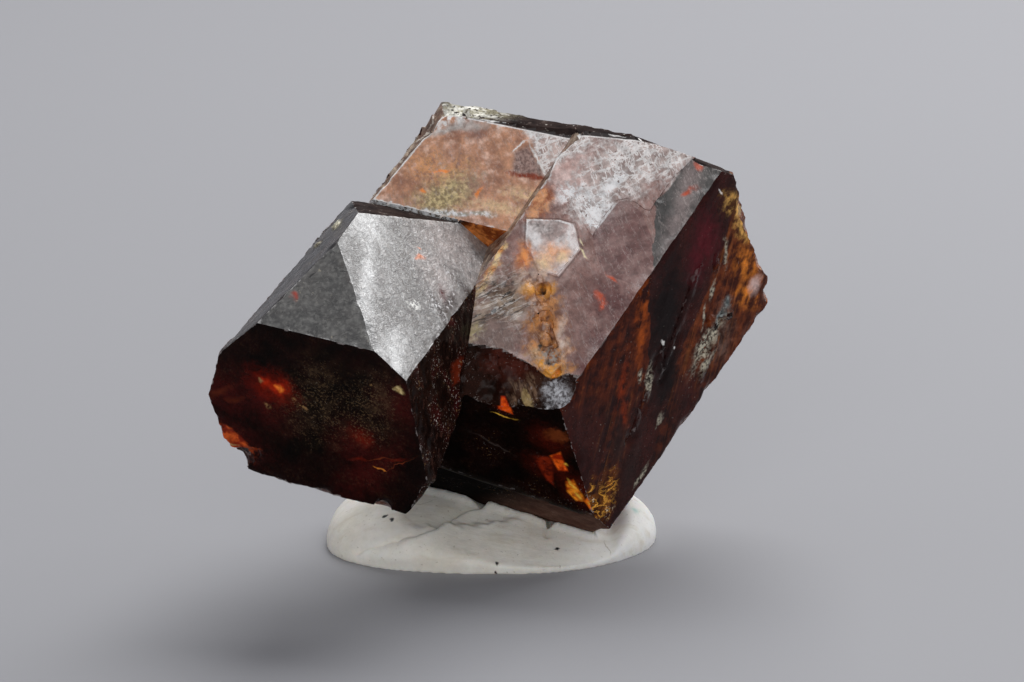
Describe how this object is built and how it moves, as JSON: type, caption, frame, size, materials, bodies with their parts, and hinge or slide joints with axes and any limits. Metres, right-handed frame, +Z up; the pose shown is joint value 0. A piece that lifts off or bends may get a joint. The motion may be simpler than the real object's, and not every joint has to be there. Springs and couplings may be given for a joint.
{
  "type": "zircon crystal cluster on putty",
  "caption": "Intergrown, flat-faced, dark red-brown zircon crystals propped on a mound of white mineral putty.",
  "frame": {"origin": "centre of the whole object's box, on the flat underside of the putty mound", "axes": "+Z up, +X from the small crystal toward the broken end of the large one, -Y the side with the large front faces"},
  "size_m": [0.0237, 0.0186, 0.0195],
  "materials": {
    "zircon": "glossy natural crystal faces, deep red-brown, see-through at thin edges",
    "putty": "matte to satin kneaded mineral putty, off-white"
  },
  "bodies": {
    "root": {"zircon_crystals": "zircon", "putty_mound": "putty"}
  },
  "joints": []
}
